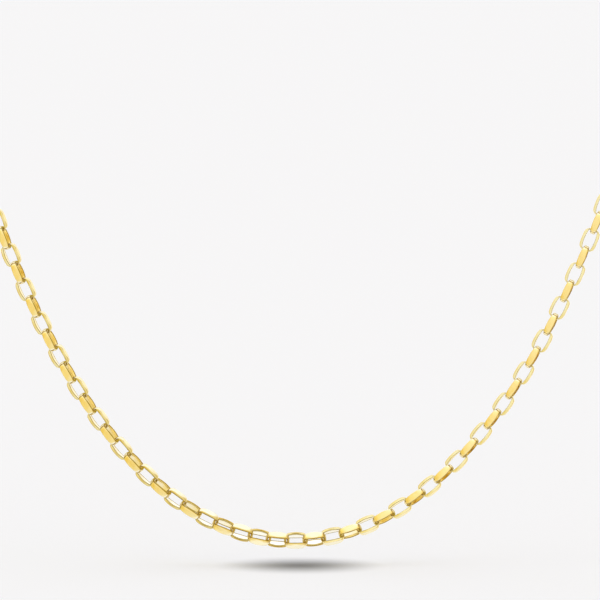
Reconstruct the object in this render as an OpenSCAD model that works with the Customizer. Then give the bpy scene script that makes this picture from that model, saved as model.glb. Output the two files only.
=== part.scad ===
// Oval belcher chain, worn as a necklace: a front drape of oval links, the rest of the loop
// round the neck, and a plain ring clasp at the nape. Sizes are in millimetres.
// The origin is the middle of the nape, where the loop sits on the neck. +Z is up, -Y is the front.

/* [Link] */
// Length of a link over its two ends
link_len = 4.06; // [3.8:0.02:4.4]
// Width of a link across the flats cut on its sides
link_w = 2.64; // [2.5:0.02:2.8]
// How far the rounded side would rise past each flat if it weren't cut
flat_cut = 0.074; // [0.02:0.002:0.12]
// Width of the band at the middle of a link's sides
band_w = 1.16; // [1:0.02:1.2]
// Width of the band where it turns round the ends of a link
band_end_w = 0.92; // [0.8:0.02:1]
// Thickness of the band at the two ends of a link
end_wall = 0.37; // [0.3:0.01:0.45]
// Thickness of the band at the flats on its two sides
side_wall = 0.41; // [0.3:0.01:0.48]
// Width of a link across its shoulders, where the sides meet the ends
shoulder_w = 2.4; // [2:0.02:2.48]
// Distance from the end of a link back to its shoulders
shoulder_set = 0.53; // [0.45:0.01:0.6]
// Width of the window at its two ends
window_end_w = 1.5; // [1.3:0.02:1.54]
// Radius in the corners of the window
window_corner_r = 0.2; // [0.1:0.01:0.26]
// Radius of the crown across the outer face of the band
crown_r = 0.8; // [0.75:0.05:1.3]
// Slack between two links that pull on each other
link_slack = 0.196; // [0.18:0.002:0.3]

/* [Clasp] */
// Outer diameter of the clasp's ring
ring_d = 5.7; // [5.5:0.1:8]
// Thickness of the ring's wire
ring_wire = 1; // [0.8:0.05:1.2]
// Outer diameter of the small eye on the ring
eye_d = 3; // [2.9:0.1:4]
// Thickness of the eye's wire
eye_wire = 0.6; // [0.5:0.05:0.7]
// How deep the eye is sunk into the ring, as one soldered piece
eye_bite = 0.35; // [0.2:0.05:0.5]
// Slack between the clasp's wire and the end link that hangs on it
clasp_slack = 0.3; // [0.26:0.02:0.36]
// How far the middle of the clasp's ring lies past the middle of the nape, along the loop
clasp_shift = -3.2; // [-4:0.1:4]

/* [Drape] */
// Radius of the hanging curve at its lowest point
drape_r = 29.5; // [27:0.1:34]
// How much higher the right side of the drape hangs, per millimetre of width
drape_lean = 0.066; // [0:0.001:0.1]
// How far the middle of the hanging curve lies to the right of the nape
drape_shift = 0.8; // [-2:0.1:2]
// Length of each half of the hanging curve, before the loop turns back round the neck
drape_reach = 86; // [82:1:90]
// Length of each half of the front chain, along the hanging curve
front_reach = 82; // [60:1:84]

/* [Hidden] */
$fn = 64;
// Facets on the long flat arcs of a link.
long_arc_fn = 240;

// Chosen points of the loop round the right side of the neck, which the left side mirrors.
// Columns: distance from the middle, distance behind the drape, height above its lowest point.
neck_points = [
    [59.5, 4, 83],
    [63, 16, 97],
    [62.5, 32.5, 106.5],
    [55, 49, 113],
    [41, 61.5, 117],
    [22, 71, 119.5],
];
nape_point = [0, 74, 120.5];

// Roll of the links about the chain. Columns: place along the drape from left to right, as a
// share of front_reach, and the angle. At 0 the even links face the front, and at 90 the odd ones.
roll_table = [
    [-1.2, 10.5],
    [-0.96, 12],
    [-0.47, 17],
    [-0.225, 25],
    [-0.135, 34],
    [-0.025, 44],
    [0.065, 56],
    [0.175, 66.5],
    [0.4, 75.5],
    [0.96, 84],
];

// Shift of the links along the loop, where they hang a little tighter on the left side.
// Columns: place as a share of front_reach, and the shift.
shift_table = [
    [-1, -0.42],
    [-0.1, 0],
    [0.4, -0.2],
    [1, -0.03],
];

// Spacing of the points that the loop is worked out at, and of the chosen points near the drape.
route_step = 1;
knot_gap = 20;

window_l = link_len / 2 - end_wall;
window_h = link_w / 2 - side_wall;
side_h = link_w / 2 + flat_cut;
pitch_max = 2 * window_l - link_slack;

function unit(v) = v / norm(v);
function asinh(x) = ln(x + sqrt(x * x + 1));
function backwards(list) = [for (i = [len(list) - 1:-1:0]) list[i]];
function mirrored(list) = [for (p = list) [-p[0], p[1], p[2]]];

// Radius of an arc that falls by drop over a reach sideways from its top.
function arc_r(drop, reach) = (drop * drop + reach * reach) / (2 * drop);

// The part of v that is square to the direction t, at unit length.
function square_to(v, t) = unit(v - (v * t) * t);

// The hanging curve: a catenary with a slight lean, at a length t from its middle.
function drape_point(t) =
    let (x = drape_r * asinh(t / drape_r))
    [drape_shift + x, 0, sqrt(drape_r * drape_r + t * t) - drape_r + drape_lean * x];

// A smooth curve from b to c at share t, whose direction at its ends follows a and d.
function curve_point(a, b, c, d, t) =
    b + (c - a) * t / 2 + (2 * a - 5 * b + 4 * c - d) * t * t / 2
    + (3 * b - a - 3 * c + d) * t * t * t / 2;

// The whole loop as points: the right half of the drape, the neck, the left half of the drape.
neck_knots = concat(
    [drape_point(drape_reach - knot_gap), drape_point(drape_reach)],
    neck_points,
    [nape_point],
    backwards(mirrored(neck_points)),
    [drape_point(-drape_reach), drape_point(knot_gap - drape_reach)]
);
knot_share = route_step / knot_gap;
route = concat(
    [for (t = [0:route_step:drape_reach - route_step / 2]) drape_point(t)],
    [for (k = [1:len(neck_knots) - 3], t = [0:knot_share:1 - knot_share / 2])
        curve_point(neck_knots[k - 1], neck_knots[k], neck_knots[k + 1], neck_knots[k + 2], t)],
    [for (t = [-drape_reach:route_step:-route_step / 2]) drape_point(t)],
    [drape_point(0)]
);
last_i = len(route) - 1;
nape_i = ceil(drape_reach / route_step) + (len(neck_points) + 1) / knot_share;

// Length along the loop at each of its points.
length_at = [for (i = 0, s = 0; i <= last_i;
    s = s + (i < last_i ? norm(route[i + 1] - route[i]) : 0), i = i + 1) s];
loop_len = length_at[last_i];

// Direction of the loop at each point, and a side direction that is carried along it without
// twist, both ways from the middle of the drape, where it faces the front.
heading = [for (i = [0:last_i]) unit(route[min(i + 1, last_i)] - route[max(i - 1, 0)])];
side_right = [for (i = 0, v = [0, -1, 0]; i <= nape_i;
    i = i + 1, v = square_to(v, heading[i])) v];
side_left = [for (i = last_i, v = [0, -1, 0]; i > nape_i;
    i = i - 1, v = square_to(v, heading[i])) v];
side = concat(side_right, backwards(side_left));

// Place and side direction at any length along the loop, read off tables.
function table(list, axis) = [for (i = [0:last_i]) [length_at[i], list[i][axis]]];
route_table = [for (axis = [0:2]) table(route, axis)];
side_table = [for (axis = [0:2]) table(side, axis)];
function wrap(s) = s < 0 ? s + loop_len : (s > loop_len ? s - loop_len : s);
function point_at(s) = [for (axis = [0:2]) lookup(wrap(s), route_table[axis])];
function side_at(s) = [for (axis = [0:2]) lookup(wrap(s), side_table[axis])];

// The clasp spans from the last link, on its ring, to the first link, on its eye.
ring_r = (ring_d - ring_wire) / 2;
eye_r = (eye_d - eye_wire) / 2;
eye_x = (ring_d + eye_d) / 2 - eye_bite;
ring_hang = ring_r - ring_wire / 2 - clasp_slack + window_l;
eye_hang = eye_x + eye_r - eye_wire / 2 - clasp_slack + window_l;
clasp_s = length_at[nape_i] + clasp_shift;
first_s = clasp_s + eye_hang - loop_len;
last_s = clasp_s - ring_hang;

// An even number of links fills the rest of the loop, none of them pulled past its slack.
full_shift_table = concat(
    [[first_s / front_reach, 0]],
    shift_table,
    [[last_s / front_reach, 0]]
);
links = 2 * ceil(((last_s - first_s) / pitch_max + 1) / 2);
pitch = (last_s - first_s) / (links - 1);
function link_s(i) =
    let (s = first_s + i * pitch)
    s + lookup(s / front_reach, full_shift_table);
front_links = [for (i = [0:links - 1]) if (abs(link_s(i)) <= front_reach) i];
back_links = [for (i = [0:links - 1]) if (abs(link_s(i)) > front_reach) i];

// The roll runs on from the drape to the clasp, where both end links stand square to its ring.
full_roll_table = concat(
    [[first_s / front_reach, 0]],
    roll_table,
    [[last_s / front_reach, 90]]
);
function roll_at(s) = lookup(s / front_reach, full_roll_table);

// Frame of a link: along the chain, across its width, square to both, and its place.
function link_frame(i) =
    let (
        s = link_s(i),
        t = unit(point_at(s + pitch / 2) - point_at(s - pitch / 2)),
        c = square_to(side_at(s), t),
        n = cross(c, t),
        b = roll_at(s),
        w = i % 2 == 0 ? sin(b) * c + cos(b) * n : cos(b) * c - sin(b) * n
    )
    [t, w, cross(t, w), point_at(s) - nape_point];

module set_in(f) {
    multmatrix([
        [f[0][0], f[1][0], f[2][0], f[3][0]],
        [f[0][1], f[1][1], f[2][1], f[3][1]],
        [f[0][2], f[1][2], f[2][2], f[3][2]],
        [0, 0, 0, 1]
    ]) children();
}

// A lens between two arcs that stand h from the middle and fall to h_end at x_end.
module lens(h, x_end, h_end) {
    r = arc_r(h - h_end, x_end);
    intersection() {
        translate([0, h - r]) circle(r, $fn = long_arc_fn);
        translate([0, r - h]) circle(r, $fn = long_arc_fn);
    }
}

// Two round ends joined by a bar, of height h in all.
module round_ends(half_l, r, h) {
    for (sx = [-1, 1]) intersection() {
        translate([sx * (half_l - r), 0]) circle(r);
        square([2 * half_l, h], center = true);
    }
    square([2 * (half_l - r), h], center = true);
}

// Front view of a link: rounded sides with a flat cut on each, and rounder ends.
module link_outline() {
    intersection() {
        lens(side_h, link_len / 2 - shoulder_set, shoulder_w / 2);
        round_ends(link_len / 2, arc_r(shoulder_set, shoulder_w / 2), link_w);
    }
}

// Top view of a link: the band narrows towards the crowned ends.
module band_outline() {
    intersection() {
        lens(band_w / 2, window_l, band_end_w / 2);
        round_ends(link_len / 2, crown_r, band_w);
    }
}

// The window: bowed sides, straight ends and rounded corners.
module link_window() {
    x = window_l - window_corner_r;
    y = window_end_w / 2 - window_corner_r;
    intersection() {
        lens(window_h, x, window_end_w / 2);
        square([2 * x, 2 * window_h], center = true);
    }
    square([2 * window_l, 2 * y], center = true);
    for (sx = [-1, 1], sy = [-1, 1]) translate([sx * x, sy * y]) circle(window_corner_r);
}

// A link is where its front, top and end views meet, less the window.
module chain_link() {
    difference() {
        intersection() {
            linear_extrude(band_w, center = true) link_outline();
            rotate([90, 0, 0]) linear_extrude(2 * link_w, center = true) band_outline();
            rotate([90, 0, 90]) linear_extrude(2 * link_len, center = true)
                round_ends(side_h, crown_r, band_w);
        }
        linear_extrude(2 * band_w, center = true) link_window();
    }
}

module front_chain() {
    color("gold") for (i = front_links) set_in(link_frame(i)) chain_link();
}

module back_chain() {
    color("gold") for (i = back_links) set_in(link_frame(i)) chain_link();
}

module wire_ring(r, wire) {
    rotate_extrude() translate([r, 0]) circle(d = wire);
}

// A plain ring with a small eye soldered on, flat against the neck.
module clasp() {
    t = unit(point_at(first_s) - point_at(last_s));
    c = square_to(side_at(clasp_s), t);
    ring_at = point_at(last_s) + ring_hang * t - nape_point;
    color("goldenrod") set_in([t, c, cross(t, c), ring_at]) {
        wire_ring(ring_r, ring_wire);
        translate([eye_x, 0, 0]) wire_ring(eye_r, eye_wire);
    }
}

front_chain();
back_chain();
clasp();
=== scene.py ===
import math

import bmesh
import bpy
import numpy as np
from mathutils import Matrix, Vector


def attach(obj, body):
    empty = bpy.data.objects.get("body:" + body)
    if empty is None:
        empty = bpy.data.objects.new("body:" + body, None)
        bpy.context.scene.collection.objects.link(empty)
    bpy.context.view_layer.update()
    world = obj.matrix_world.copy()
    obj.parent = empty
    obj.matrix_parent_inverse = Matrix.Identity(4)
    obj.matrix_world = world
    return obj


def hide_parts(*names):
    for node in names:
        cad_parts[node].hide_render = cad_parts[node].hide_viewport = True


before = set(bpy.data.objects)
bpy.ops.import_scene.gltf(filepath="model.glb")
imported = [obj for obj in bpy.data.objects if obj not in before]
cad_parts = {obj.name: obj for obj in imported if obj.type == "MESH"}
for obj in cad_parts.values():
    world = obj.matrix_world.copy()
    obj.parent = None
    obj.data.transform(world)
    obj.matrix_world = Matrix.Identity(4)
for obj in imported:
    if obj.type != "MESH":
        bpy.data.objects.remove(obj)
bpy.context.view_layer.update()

# Front links: the drape that shows at the front of the neck, of oval belcher links.
# Each is a band of yellow gold, rounded outside and flat inside, bent to an oval, soldered at
# one end, and cut flat with a turning diamond on its two long sides once the chain is made.

MM = 0.001

# The outline of one link, in millimetres: a flat arc for each side, cut to a flat that lies
# flat_rise inside it, and a rounder arc for each end. The window has the same kind of outline.
link_half_l = 2.03
link_half_w = 1.36
flat_rise = 0.07
side_arc_r = 5.9
end_arc_r = 1.62
shoulder_x = 1.47
window_half_l = 1.60
window_half_w = 0.90
window_side_r = 6.7
window_end_r = 8.0
# How softly the corners of the two outlines turn, in degrees round the link. The outlines are
# worked out in steps of angle_step, with soft_span steps mixed on each side of every one.
shoulder_soft = 2.5
window_corner_soft = 1.6
angle_step = 0.5
soft_span = 12
past_quarter = 20
arc_points = 200
# Below 1, this brings the stations of the mesh closer together round the ends.
station_crowding = 0.62
weld_gap = 0.002

# Half the depth of the band, which shrinks up to taper_limit window lengths along the link.
band_half = 0.58
band_half_at_end = 0.46
taper_limit = 1.2
# The dome across the band, its fullness, and the flat edge beside it.
crown_drop = 0.17
crown_drop_at_end = 0.14
crown_square = 0.7
crown_foot = 0.05
# The rounded rims of the window.
edge_soft = 0.04
soft_step = 0.3

# Where painted shade darkens the colour: in the rims, less so at the ends of the window, on the
# ends of the links past a set distance along them, and on the arrises.
rim_line = 0.18
rim_inside = 0.14
rim_fade = 0.05
shade_ease_from = 1.3
shade_ease_reach = 0.25
shade_ease_share = 0.7
end_shade_from = 1.88
end_shade = 0.5
end_shade_on_edge = 0.3
arris_from = 0.74
arris_reach = 0.1
arris_shade = 0.3
# Past this share of the dome's depth the metal takes the colour of the band's edge: a duller
# finish, with painted shade and reflections that change with the angle.
edge_from = 0.97


def outline_distances(top, side_r, end, end_r, turn_x, soft_degrees):
    """Distance from the link's middle to an outline of two flat arcs and two end arcs.

    It covers a quarter of the link and past_quarter degrees more at both ends of it, so that
    its corner can be rounded.
    """
    x = np.linspace(0, turn_x, arc_points)
    side = np.stack([x, top - side_r + np.sqrt(side_r ** 2 - x ** 2)])
    y = np.linspace(side[1, -1], 0, arc_points)
    tip = np.stack([end - end_r + np.sqrt(end_r ** 2 - y ** 2), y])
    path = np.concatenate([side, tip[:, 1:]], axis=1)[:, ::-1]
    degrees = np.degrees(np.arctan2(path[1], path[0]))
    wanted = np.arange(-past_quarter, 90 + past_quarter + angle_step / 2, angle_step)
    folded = 90 - abs(90 - abs(wanted))
    far = np.interp(folded, degrees, np.hypot(*path))
    reach = np.arange(-soft_span, soft_span + 1)
    weight = np.exp(-(reach * angle_step / soft_degrees) ** 2)
    far = np.convolve(far, weight / weight.sum(), mode="same")
    return wanted, far


def distance_at(outline, angle):
    """Distance to an outline at any angle round the link."""
    folded = np.degrees(np.arctan2(abs(np.sin(angle)), abs(np.cos(angle))))
    return np.interp(folded, *outline)


def link_rings(angle, crown_steps):
    """Rings that run round a link: how far out, how high, and three shares of colour.

    The shares are of painted shade, of the band's edge colour and of its inside colour; the last
    two also carry painted reflections and shade.
    """
    outer = distance_at(outline_distances(
        link_half_w + flat_rise, side_arc_r, link_half_l, end_arc_r, shoulder_x,
        shoulder_soft), angle)
    inner = distance_at(outline_distances(
        window_half_w, window_side_r, window_half_l, window_end_r, window_half_l,
        window_corner_soft), angle)
    along = abs(outer * np.cos(angle))
    share = np.clip(along / window_half_l, 0, taper_limit)
    depth = band_half - (band_half - band_half_at_end) * share ** 2
    rings = []

    # Each rim has its distance from the window, its distance below the band's edge, and shares.
    # The inside of the band runs from the near rim to the far rim.
    rim = [(rim_line + rim_fade, 0.0, 0.0, 1, 0), (rim_line, 0.0, 1.0, 1, 0),
           (edge_soft, 0.0, 1.0, 1, 0),
           (soft_step * edge_soft, (1 - soft_step) * edge_soft, 1.0, 0, 0),
           (0.0, edge_soft, 1.0, 0, 0), (0.0, rim_inside, 1.0, 0, 0),
           (0.0, rim_inside + rim_fade, 0.0, 0, 0), (0.0, rim_inside + 3 * rim_fade, 0.0, 0, 1)]
    # The rims' painted shade is lighter towards the ends of the window.
    at_end = np.clip((abs(inner * np.cos(angle)) - shade_ease_from) / shade_ease_reach, 0, 1)
    rim_shade = 1 - shade_ease_share * at_end
    for side in (1, -1):
        for inset, below, painted_shade, edge, inside in rim[::side]:
            rings.append((inner + inset, side * (depth - below), painted_shade * rim_shade, edge, inside))

    # The dome across the band is lower at the ends, where the links rub on each other.
    dome = crown_drop + (crown_drop_at_end - crown_drop) * np.clip(share, 0, 1) ** 2
    # Painted shade on the ends of the links, where they meet their neighbours.
    ends = np.clip((along - end_shade_from) / (link_half_l - end_shade_from), 0, end_shade)
    foot = outer - dome - crown_foot
    rings.append((foot, -depth, end_shade_on_edge * ends, 1, 0))
    for lean in np.linspace(-1, 1, crown_steps) * math.pi / 2:
        drop = dome * (1 - abs(math.cos(lean)) ** crown_square)
        beside = abs(math.sin(lean)) ** crown_square
        # Painted shade along the arrises beside the flats.
        arris = arris_shade * min(max((beside - arris_from) / arris_reach, 0), 1)
        rings.append((outer - drop, math.copysign(beside, lean) * depth,
                      np.maximum(ends, arris), int(beside > edge_from), 0))
    rings.append((foot, depth, end_shade_on_edge * ends, 1, 0))
    return rings


def link_shape(stations, crown_steps):
    """Points, shares of finish and painted shade, and faces of one link about its own middle,
    with its flats cut.
    """
    turn = np.linspace(0, 2 * math.pi, stations, endpoint=False)
    angle = np.arctan2(np.sin(turn) * station_crowding, np.cos(turn))
    ray = np.stack([np.cos(angle), np.sin(angle)], axis=1)
    shape = bmesh.new()
    layers = [shape.verts.layers.float.new(kind) for kind in ("painted_shade", "edge", "inside")]
    loops = []
    for distance, z, painted_shade, edge, inside in link_rings(angle, crown_steps):
        loops.append([
            shape.verts.new((ray[i, 0] * distance[i], ray[i, 1] * distance[i], z[i]))
            for i in range(stations)
        ])
        for vert, shade_here in zip(loops[-1], painted_shade):
            for layer, value in zip(layers, (shade_here, edge, inside)):
                vert[layer] = value
    for k, loop in enumerate(loops):
        after = loops[(k + 1) % len(loops)]
        for i in range(stations):
            j = (i + 1) % stations
            shape.faces.new((loop[i], loop[j], after[j], after[i]))
    bmesh.ops.recalc_face_normals(shape, faces=shape.faces)

    # The two long sides are cut flat, down to bright metal.
    for side in (1, -1):
        cut = bmesh.ops.bisect_plane(
            shape, geom=shape.verts[:] + shape.edges[:] + shape.faces[:],
            plane_co=(0, side * link_half_w, 0), plane_no=(0, side, 0), clear_outer=True)
        rim = [e for e in cut["geom_cut"] if isinstance(e, bmesh.types.BMEdge)]
        bmesh.ops.contextual_create(shape, geom=rim)
        for vert in {v for e in rim for v in e.verts}:
            for layer in layers:
                vert[layer] = 0
    bmesh.ops.remove_doubles(shape, verts=shape.verts, dist=weld_gap)
    bmesh.ops.recalc_face_normals(shape, faces=shape.faces)
    shape.verts.index_update()
    points = np.array([v.co[:] for v in shape.verts])
    finish_and_shade = np.array([[v[layer] for layer in layers] for v in shape.verts])
    faces = [[v.index for v in f.verts] for f in shape.faces]
    shape.free()
    return points, finish_and_shade, faces


# Corners of a solid that fall in the same ten-millionth of a metre are one corner.
corner_steps = 1e7


def loose_parts(node):
    """Corner points of each triangle of a CAD node, one array for each loose solid in it."""
    mesh = node.data
    mesh.calc_loop_triangles()
    points = np.empty(len(mesh.vertices) * 3)
    mesh.vertices.foreach_get("co", points)
    points = points.reshape(-1, 3)
    corners = np.empty(len(mesh.loop_triangles) * 3, dtype=np.int32)
    mesh.loop_triangles.foreach_get("vertices", corners)
    corners = corners.reshape(-1, 3)
    steps = np.round(points * corner_steps).astype(np.int64)
    places, same = np.unique(steps, axis=0, return_inverse=True)
    joined = same.reshape(-1)[corners]
    # Each corner takes the lowest number among the triangles that it touches, until all agree.
    label = np.arange(len(places))
    while True:
        low = label[joined].min(axis=1)
        new = label.copy()
        for k in range(3):
            np.minimum.at(new, joined[:, k], low)
        new = new[new]
        if (new == label).all():
            break
        label = new
    owner = label[joined[:, 0]]
    return [points[corners[owner == k]] for k in np.unique(owner)]


def place_of(triangles):
    """Middle of a solid and its long, wide and deep directions, from how its mass is spread.

    The solid is summed as pyramids, one from a point inside it to each triangle. The divisors
    are those of a pyramid's volume, middle and spread.
    """
    start = triangles.reshape(-1, 3).mean(axis=0)
    tri = triangles - start
    six = np.einsum("ij,ij->i", tri[:, 0], np.cross(tri[:, 1], tri[:, 2]))
    total = tri.sum(axis=1)
    middle = (six[:, None] * total).sum(axis=0) / 24 / (six.sum() / 6)
    outer = np.einsum("i,ij,ik->jk", six, total, total)
    for k in range(3):
        outer += np.einsum("i,ij,ik->jk", six, tri[:, k], tri[:, k])
    spread = outer / 120 - six.sum() / 6 * np.outer(middle, middle)
    axes = np.linalg.eigh(spread)[1]
    along, across = axes[:, 2], axes[:, 1]
    if along[np.argmax(abs(along))] < 0:
        along = -along
    if across[np.argmax(abs(across))] < 0:
        across = -across
    return start + middle, np.stack([along, across, np.cross(along, across)])


# A turn of more than this many degrees between two faces shows as a crisp edge.
crisp_turn = 24


def gold_piece(name, points, faces, place, tone, finish_and_shade):
    """An object whose points carry their place in the piece, its own tone, and their shares of
    finish and painted shade.
    """
    mesh = bpy.data.meshes.new(name)
    mesh.from_pydata(points.tolist(), [], faces)
    for label, kind, key, values in (
            ("link_place", "FLOAT_VECTOR", "vector", place),
            ("link_tone", "FLOAT", "value", tone),
            ("link_finish_and_shade", "FLOAT_VECTOR", "vector", finish_and_shade)):
        mesh.attributes.new(label, kind, "POINT").data.foreach_set(key, values.ravel())
    mesh.shade_smooth()
    mesh.set_sharp_from_angle(angle=math.radians(crisp_turn))
    piece = bpy.data.objects.new(name, mesh)
    bpy.context.scene.collection.objects.link(piece)
    return piece


def chain_of_links(name, node, stations, crown_steps, seed):
    """One mesh of finely made links, each standing where the CAD node has its link."""
    points, finish_and_shade, faces = link_shape(stations, crown_steps)
    places = [place_of(part) for part in loose_parts(node)]
    chance = np.random.default_rng(seed)
    count = len(points)
    tone = np.repeat([chance.random() for _ in places], count)
    all_points = np.concatenate([points * MM @ axes + middle for middle, axes in places])
    all_faces = [[v + count * k for v in f] for k in range(len(places)) for f in faces]
    return gold_piece(name, all_points, all_faces, np.tile(points, (len(places), 1)), tone,
                      np.tile(finish_and_shade, (len(places), 1)))


def node_group(name, inputs, outputs):
    """An empty shader group with named sockets."""
    group = bpy.data.node_groups.new(name, "ShaderNodeTree")
    for label, kind, value in inputs:
        socket = group.interface.new_socket(name=label, in_out="INPUT", socket_type=kind)
        if value is not None:
            socket.default_value = value
    for label, kind in outputs:
        group.interface.new_socket(name=label, in_out="OUTPUT", socket_type=kind)
    return group, group.nodes.new("NodeGroupInput"), group.nodes.new("NodeGroupOutput")


def add(tree, kind, inputs=None, **settings):
    """A node with its settings, and its inputs either linked or set."""
    node = tree.nodes.new("ShaderNode" + kind)
    for key, value in settings.items():
        setattr(node, key, value)
    for key, value in (inputs or {}).items():
        if isinstance(value, bpy.types.NodeSocket):
            tree.links.new(value, node.inputs[key])
        else:
            node.inputs[key].default_value = value
    return node


def blend(tree, share, first, second, how="MIX"):
    """Two colours mixed by a share. A Mix node has its colours in inputs 6 and 7."""
    mixed = add(tree, "Mix", {0: share, 6: first, 7: second}, data_type="RGBA", blend_type=how)
    return mixed.outputs[2]


# Hairline scratches from polishing and wear: fine lines that cross in two directions.
hairlines, given, out = node_group(
    "polishing hairlines",
    [("Place", "NodeSocketVector", None), ("Fineness", "NodeSocketFloat", 9.0)],
    [("Lines", "NodeSocketFloat")])
scratches = []
for turned, stretch in ((0.35, (1.0, 14.0, 3.0)), (-0.9, (12.0, 1.0, 3.0))):
    spin = add(hairlines, "VectorRotate", {"Vector": given.outputs["Place"], "Angle": turned},
               rotation_type="Z_AXIS")
    drawn = add(hairlines, "VectorMath", {0: spin.outputs["Vector"], 1: stretch},
                operation="MULTIPLY")
    grain = add(hairlines, "TexNoise", {"Vector": drawn.outputs[0],
                                        "Scale": given.outputs["Fineness"],
                                        "Detail": 4.0, "Roughness": 0.65})
    line = add(hairlines, "MapRange", {"Value": grain.outputs["Fac"], "From Min": 0.56,
                                       "From Max": 0.68})
    scratches.append(line.outputs[0])
crossed = add(hairlines, "Math", {0: scratches[0], 1: scratches[1]}, operation="MAXIMUM")
hairlines.links.new(crossed.outputs[0], out.inputs["Lines"])

# Tone of the metal: slight patches of warmer and paler gold, and each link's own tone.
gold_tone, given, out = node_group(
    "gold tone",
    [("Place", "NodeSocketVector", None), ("Own Tone", "NodeSocketFloat", 0.5),
     ("Pale", "NodeSocketColor", (0.95, 0.77, 0.36, 1)),
     ("Warm", "NodeSocketColor", (0.93, 0.70, 0.28, 1))],
    [("Color", "NodeSocketColor"), ("Patches", "NodeSocketFloat")])
patches = add(gold_tone, "TexNoise", {"Vector": given.outputs["Place"], "Scale": 1.1,
                                      "Detail": 3.0, "Roughness": 0.6})
warmth = add(gold_tone, "Math", {0: patches.outputs["Fac"], 1: given.outputs["Own Tone"]},
             operation="ADD")
warmth = add(gold_tone, "MapRange", {"Value": warmth.outputs[0], "From Min": 0.45,
                                     "From Max": 1.55})
toned = blend(gold_tone, warmth.outputs[0], given.outputs["Pale"], given.outputs["Warm"])
gold_tone.links.new(toned, out.inputs["Color"])
gold_tone.links.new(patches.outputs["Fac"], out.inputs["Patches"])

# The seam that closes a link at one end: a thin line of solder across the band, which wavers
# by up to seam_waver millimetres. It begins seam_from along the link, over seam_fade.
seam_waver = 0.05
seam_from = 1.3
seam_fade = 0.2
solder_seam, given, out = node_group(
    "solder seam", [("Place", "NodeSocketVector", None)], [("Seam", "NodeSocketFloat")])
waver = add(solder_seam, "TexNoise", {"Vector": given.outputs["Place"], "Scale": 5.0})
at = add(solder_seam, "SeparateXYZ", {"Vector": given.outputs["Place"]})
off = add(solder_seam, "Math", {0: waver.outputs["Fac"], 1: seam_waver, 2: at.outputs["Y"]},
          operation="MULTIPLY_ADD")
beside = add(solder_seam, "Math", {0: off.outputs[0], 1: seam_waver / 2}, operation="SUBTRACT")
beside = add(solder_seam, "Math", {0: beside.outputs[0]}, operation="ABSOLUTE")
narrow = add(solder_seam, "MapRange", {"Value": beside.outputs[0], "From Min": 0.02,
                                       "From Max": 0.05, "To Min": 1.0, "To Max": 0.0})
one_end = add(solder_seam, "MapRange", {"Value": at.outputs["X"], "From Min": seam_from,
                                        "From Max": seam_from + seam_fade})
seam = add(solder_seam, "Math", {0: narrow.outputs[0], 1: one_end.outputs[0]},
           operation="MULTIPLY")
solder_seam.links.new(seam.outputs[0], out.inputs["Seam"])

# How far apart the patterns of two links lie, how much rougher the hairlines, the band's edge
# and the patches are than the polish, how strongly the seam's colour shows, and how many times
# deeper than a hairline it lies.
pattern_apart = 31.0
hairline_rough = 0.05
edge_rough = 0.14
rough_spread = 1.5
seam_tint = 0.5
seam_depth = 2.0
# Heights in metres: the slow waves that polishing leaves, and the hairlines.
wave_height = 0.00006
hairline_height = 0.00001


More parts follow.
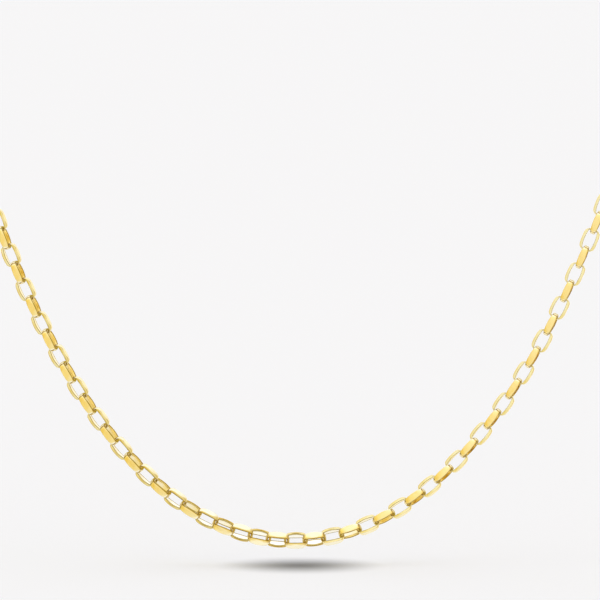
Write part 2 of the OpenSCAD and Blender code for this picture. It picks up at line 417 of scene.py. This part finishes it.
def gold(name, pale, warm, rim_painted_reflection, edge, inside, painted_shade, solder, grazing, polish):
    """Polished yellow gold, with hairlines, slight patches and a faint solder seam, and painted
    shade and reflections that change with the viewing angle.
    """
    material = bpy.data.materials.new(name)
    material.use_nodes = True
    tree = material.node_tree
    shader = tree.nodes["Principled BSDF"]
    place = add(tree, "Attribute", attribute_name="link_place")
    own = add(tree, "Attribute", attribute_name="link_tone")
    # Each link has its own part of the pattern, at its own scale.
    lift = add(tree, "VectorMath", {0: own.outputs["Vector"], "Scale": pattern_apart},
               operation="SCALE")
    shifted = add(tree, "VectorMath", {0: place.outputs["Vector"], 1: own.outputs["Vector"],
                                       2: lift.outputs[0]}, operation="MULTIPLY_ADD")
    lines = add(tree, "Group", node_tree=hairlines)
    tree.links.new(shifted.outputs[0], lines.inputs["Place"])
    tone = add(tree, "Group", node_tree=gold_tone)
    tree.links.new(shifted.outputs[0], tone.inputs["Place"])
    tree.links.new(own.outputs["Fac"], tone.inputs["Own Tone"])
    tone.inputs["Pale"].default_value = (*pale, 1)
    tone.inputs["Warm"].default_value = (*warm, 1)
    seam = add(tree, "Group", node_tree=solder_seam)
    tree.links.new(place.outputs["Vector"], seam.inputs["Place"])

    # Painted shade shows wherever the metal isn't seen straight on.
    finish_and_shade = add(tree, "Attribute", attribute_name="link_finish_and_shade")
    parts = add(tree, "SeparateXYZ", {"Vector": finish_and_shade.outputs["Vector"]})
    facing = add(tree, "LayerWeight", {"Blend": 0.5})
    steep = add(tree, "MapRange", {"Value": facing.outputs["Facing"], "From Min": 0.05,
                                   "From Max": 0.2})
    painted_shade_share = add(tree, "Math", {0: parts.outputs["X"], 1: steep.outputs[0]},
                 operation="MULTIPLY")
    # Seen from the side, the band turns paler: a painted reflection of the studio. The edge and
    # inside colours change with the same angle, as painted reflections and shade.
    painted_reflection_share = add(tree, "MapRange", {"Value": facing.outputs["Facing"], "From Min": 0.12,
                                  "From Max": 0.42})
    soldered = add(tree, "Math", {0: seam.outputs["Seam"], 1: seam_tint}, operation="MULTIPLY")
    colour = tone.outputs["Color"]
    for share, over in ((painted_reflection_share.outputs[0], rim_painted_reflection), (parts.outputs["Y"], edge),
                        (parts.outputs["Z"], inside), (painted_shade_share.outputs[0], painted_shade),
                        (soldered.outputs[0], solder)):
        if isinstance(over, tuple):
            laid = (*over, 1)
        else:
            curve = add(tree, "ValToRGB", {"Fac": facing.outputs["Facing"]})
            while len(curve.color_ramp.elements) < len(over):
                curve.color_ramp.elements.new(0.5)
            for element, (at, shade) in zip(curve.color_ramp.elements, over):
                element.position = at
                element.color = (*shade, 1)
            laid = curve.outputs["Color"]
        colour = blend(tree, share, colour, laid)
    tree.links.new(colour, shader.inputs["Base Color"])
    # Gold stays golden where it is seen at a low angle.
    shader.inputs["Specular Tint"].default_value = (*grazing, 1)
    shader.inputs["Metallic"].default_value = 1.0

    rough = add(tree, "MapRange", {"Value": tone.outputs["Patches"], "From Min": 0.3,
                                   "From Max": 0.7, "To Min": polish,
                                   "To Max": polish * rough_spread})
    rough = add(tree, "Math", {0: lines.outputs["Lines"], 1: hairline_rough,
                               2: rough.outputs[0]}, operation="MULTIPLY_ADD")
    rough = add(tree, "Math", {0: parts.outputs["Y"], 1: edge_rough, 2: rough.outputs[0]},
                operation="MULTIPLY_ADD")
    tree.links.new(rough.outputs[0], shader.inputs["Roughness"])

    waves = add(tree, "TexNoise", {"Vector": shifted.outputs[0], "Scale": 1.6, "Detail": 1.0})
    wavy = add(tree, "Bump", {"Height": waves.outputs["Fac"], "Strength": 1.0,
                              "Distance": wave_height})
    sunk = add(tree, "Math", {0: seam.outputs["Seam"], 1: seam_depth, 2: lines.outputs["Lines"]},
               operation="MULTIPLY_ADD")
    scratched = add(tree, "Bump", {"Height": sunk.outputs[0], "Strength": 0.25,
                                   "Distance": hairline_height, "Normal": wavy.outputs[0]},
                    invert=True)
    tree.links.new(scratched.outputs[0], shader.inputs["Normal"])
    return material


# The rim colour is a painted reflection, the edge and inside ramps paint reflections and shade,
# and the dark brown is painted shade.
link_gold = gold("yellow gold", pale=(1.0, 0.86, 0.45), warm=(0.98, 0.80, 0.35),
                 rim_painted_reflection=(0.99, 0.94, 0.74),
                 edge=[(0, (0.93, 0.88, 0.58)), (0.12, (0.86, 0.75, 0.34)),
                       (0.28, (0.74, 0.51, 0.12)), (0.5, (0.58, 0.38, 0.06)),
                       (0.7, (0.42, 0.30, 0.05))],
                 inside=[(0, (0.68, 0.51, 0.14)), (0.045, (0.80, 0.62, 0.20)),
                         (0.1, (1.0, 0.93, 0.74)), (0.3, (1.0, 0.97, 0.86))],
                 painted_shade=(0.23, 0.145, 0.0), solder=(0.80, 0.66, 0.34),
                 grazing=(0.85, 0.72, 0.38), polish=0.06)

front_links = chain_of_links("front_links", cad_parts["front_chain"],
                             stations=72, crown_steps=9, seed=3)
front_links.data.materials.append(link_gold)
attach(front_links, "root")
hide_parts("front_chain")

# Back links: the rest of the loop, which runs over the shoulders and round the nape.
# They are the same gold links from the same run of chain, and are joined to it link in link.

back_links = chain_of_links("back_links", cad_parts["back_chain"],
                            stations=40, crown_steps=7, seed=5)
back_links.data.materials.append(link_gold)
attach(back_links, "root")
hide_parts("back_chain")

# Clasp: a plain ring of round gold wire, with a small eye soldered on for the last link.
# The wire is drawn round, bent, closed with solder and polished a little less brightly than
# the chain.

# Sizes in millimetres: centre lines and wire radii, and how far apart the two middles are.
ring_line_r = 2.35
ring_wire_r = 0.5
eye_line_r = 1.2
eye_wire_r = 0.3
eye_from_ring = 4.0
# The bead of solder between the two, and the painted shade round it.
bead_at = 2.78
bead_size = (0.26, 0.34, 0.27)
bead_shade_reach = 0.35
bead_shade = 0.5
clasp_tone = 0.7


def wire_loop(line_r, wire_r, middle_x, steps, round_steps):
    """Points and faces of a ring of round wire that lies flat, with its middle on the X axis."""
    turn = np.linspace(0, 2 * math.pi, steps, endpoint=False)
    lean = np.linspace(0, 2 * math.pi, round_steps, endpoint=False)
    far = line_r + wire_r * np.cos(lean)[None]
    points = np.stack([middle_x + np.cos(turn)[:, None] * far, np.sin(turn)[:, None] * far,
                       np.broadcast_to(wire_r * np.sin(lean), far.repeat(steps, 0).shape)], 2)
    faces = [[i * round_steps + j, (i + 1) % steps * round_steps + j,
              (i + 1) % steps * round_steps + (j + 1) % round_steps,
              i * round_steps + (j + 1) % round_steps]
             for i in range(steps) for j in range(round_steps)]
    return points.reshape(-1, 3), faces


def solder_bead(middle_x, size, steps):
    """Points and faces of a small rounded bead of solder."""
    ball = bmesh.new()
    bmesh.ops.create_icosphere(ball, subdivisions=steps, radius=1.0)
    points = np.array([v.co[:] for v in ball.verts]) * size + (middle_x, 0, 0)
    faces = [[v.index for v in f.verts] for f in ball.faces]
    ball.free()
    return points, faces


# The ring stands at the low end of the clasp's long direction, and the eye at the high end.
clasp_solid = loose_parts(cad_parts["clasp"])[0]
clasp_middle, clasp_axes = place_of(clasp_solid)
reach = (clasp_solid.reshape(-1, 3) - clasp_middle) @ clasp_axes[0]
if reach.max() < -reach.min():
    clasp_axes = np.stack([-clasp_axes[0], -clasp_axes[1], clasp_axes[2]])
    reach = -reach
ring_middle = clasp_middle + clasp_axes[0] * (reach.min() + (ring_line_r + ring_wire_r) * MM)
points, faces = [], []
for part_points, part_faces in (
        wire_loop(ring_line_r, ring_wire_r, 0, steps=120, round_steps=28),
        wire_loop(eye_line_r, eye_wire_r, eye_from_ring, steps=80, round_steps=20),
        solder_bead(bead_at, bead_size, steps=4)):
    start = sum(len(p) for p in points)
    points.append(part_points)
    faces += [[v + start for v in f] for f in part_faces]
points = np.concatenate(points)
from_bead = np.linalg.norm(points - (bead_at, 0, 0), axis=1)
finish_and_shade = np.zeros((len(points), 3))
finish_and_shade[:, 0] = bead_shade * np.exp(-(from_bead / bead_shade_reach) ** 2)
clasp = gold_piece("clasp_ring", points * MM @ clasp_axes + ring_middle, faces, points,
                   np.full(len(points), clasp_tone), finish_and_shade)
# The clasp's rim colour is a painted reflection, and the dark brown round the bead is painted
# shade.
clasp.data.materials.append(gold(
    "clasp gold", pale=(0.99, 0.82, 0.40), warm=(0.96, 0.76, 0.32), rim_painted_reflection=(0.98, 0.88, 0.60),
    edge=(0.84, 0.74, 0.40), inside=(0.84, 0.74, 0.40), painted_shade=(0.30, 0.20, 0.04),
    solder=(0.82, 0.68, 0.36), grazing=(0.85, 0.72, 0.38), polish=0.08))
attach(clasp, "root")
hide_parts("clasp")

# Stage: a floor of matt white paper below the chain, soft light from all round, and a long
# lens that looks slightly down on the drape. The paper's colour holds a painted shadow: darker
# in a soft round patch under the lowest links.

floor_z = -124.8 * MM
floor_r = 3.0
drape_y = -74 * MM
shadow_half_w = 0.0155
shadow_half_d = 0.0125
shadow_tone = 0.32
paper_tone = 0.787
paper_tint = (1.057, 1.106, 1.24)

bpy.ops.mesh.primitive_circle_add(vertices=96, radius=floor_r, fill_type="NGON",
                                  location=(0, 0, floor_z))
floor = bpy.context.object
floor.name = "pale_floor"
floor.visible_glossy = False
paper = bpy.data.materials.new("white paper")
paper.use_nodes = True
sheet = paper.node_tree
paper_shader = sheet.nodes["Principled BSDF"]
paper_shader.inputs["Roughness"].default_value = 0.9
paper_shader.inputs["Specular IOR Level"].default_value = 0.0
spot = add(sheet, "TexCoord")
centred = add(sheet, "Mapping", {"Vector": spot.outputs["Object"],
                                 "Location": (0, -drape_y / shadow_half_d, 0),
                                 "Scale": (1 / shadow_half_w, 1 / shadow_half_d, 0)})
# Painted shadow: the paper darkens towards the middle of the patch.
far = add(sheet, "VectorMath", {0: centred.outputs[0]}, operation="LENGTH")
painted_shadow_fall = add(sheet, "MapRange", {"Value": far.outputs["Value"], "From Min": 0.0,
                               "From Max": 1.0, "To Min": shadow_tone, "To Max": 1.0},
           interpolation_type="SMOOTHSTEP")
grey = add(sheet, "Math", {0: painted_shadow_fall.outputs[0], 1: paper_tone}, operation="MULTIPLY")
cool = add(sheet, "VectorMath", {0: paper_tint, "Scale": grey.outputs[0]}, operation="SCALE")
sheet.links.new(cool.outputs[0], paper_shader.inputs["Base Color"])
floor.data.materials.append(paper)

scene = bpy.context.scene
scene.view_settings.view_transform = "Standard"
scene.view_settings.look = "None"
world = bpy.data.worlds.new("white tent")
scene.world = world
world.use_nodes = True
sky = world.node_tree
toward = add(sky, "TexCoord")
split = add(sky, "SeparateXYZ", {"Vector": toward.outputs["Generated"]})


def tone_curve(value, stops):
    """The light's tone along one direction, from -1 to 1, through chosen stops."""
    share = add(sky, "MapRange", {"Value": value, "From Min": -1.0, "From Max": 1.0})
    curve = add(sky, "ValToRGB", {"Fac": share.outputs[0]})
    ramp = curve.color_ramp
    while len(ramp.elements) < len(stops):
        ramp.elements.new(0.5)
    for element, (at, colour) in zip(ramp.elements, stops):
        element.position = (at + 1) / 2
        element.color = (*colour, 1)
    return curve.outputs["Color"]


# In front of the chain the light is paler from above and more golden from the two sides.
height_tone = tone_curve(split.outputs["Z"], (
    (-1, (1.05, 1.05, 1.05)), (-0.6, (0.97, 0.97, 0.97)), (-0.2, (0.95, 0.95, 0.95)),
    (0.15, (0.97, 0.97, 0.97)), (0.5, (1.1, 1.12, 1.15)), (0.85, (1.3, 1.33, 1.6))))
front_tone = tone_curve(split.outputs["Y"], (
    (-1, (1.05, 0.99, 0.85)), (-0.8, (0.98, 0.92, 0.75)), (-0.5, (0.9, 0.87, 0.79)),
    (-0.25, (1, 1, 1)), (1, (1, 1, 1))))
side_tone = tone_curve(split.outputs["X"], (
    (-0.92, (1.02, 0.81, 0.26)), (-0.6, (1.02, 0.91, 0.52)), (-0.3, (1, 1, 1)),
    (0.3, (1, 1, 1)), (0.6, (0.98, 0.86, 0.52)), (0.92, (0.98, 0.77, 0.25))))
before = blend(sky, 1.0, blend(sky, 1.0, height_tone, front_tone, "MULTIPLY"), side_tone,
               "MULTIPLY")
# Behind it the light is stronger in the middle, and deep gold at the two sides.
back_side = tone_curve(split.outputs["X"], (
    (-0.93, (0.72, 0.56, 0.16)), (-0.75, (0.75, 0.6, 0.3)), (-0.5, (1.2, 1.2, 1.22)),
    (0.5, (1.2, 1.2, 1.22)), (0.75, (0.75, 0.6, 0.3)), (0.93, (0.66, 0.5, 0.13))))
back_height = tone_curve(split.outputs["Z"], (
    (-1, (0.78, 0.78, 0.78)), (-0.3, (1, 1, 1)), (1, (1, 1, 1))))
behind = blend(sky, 1.0, back_side, back_height, "MULTIPLY")
far_back = add(sky, "MapRange", {"Value": split.outputs["Y"], "From Min": -0.2,
                                 "From Max": 0.25})
light = blend(sky, far_back.outputs[0], before, behind)

# The camera sees a plain pale wall behind; the metal and the floor get the shaped light.
background = 0.922
seen = add(sky, "LightPath")
plain = blend(sky, seen.outputs["Is Camera Ray"], light, (background, background, background, 1))
sky.links.new(plain, sky.nodes["Background"].inputs["Color"])

# The lens takes in view_width at the drape, from stand_off metres and 5 degrees above it.
view_width = 100.33 * MM
stand_off = 1.0
elevation = math.radians(5)
target = Vector((-0.035 * MM, -74 * MM, -80.06 * MM))
lens = bpy.data.cameras.new("long lens")
camera = bpy.data.objects.new("camera", lens)
scene.collection.objects.link(camera)
scene.camera = camera
back = Vector((0, -math.cos(elevation), math.sin(elevation)))
camera.location = target + back * stand_off
camera.rotation_mode = "QUATERNION"
camera.rotation_quaternion = (-back).to_track_quat("-Z", "Y")
lens.sensor_width = 36
lens.lens = lens.sensor_width * stand_off / view_width
lens.clip_start = 0.01
lens.clip_end = 50
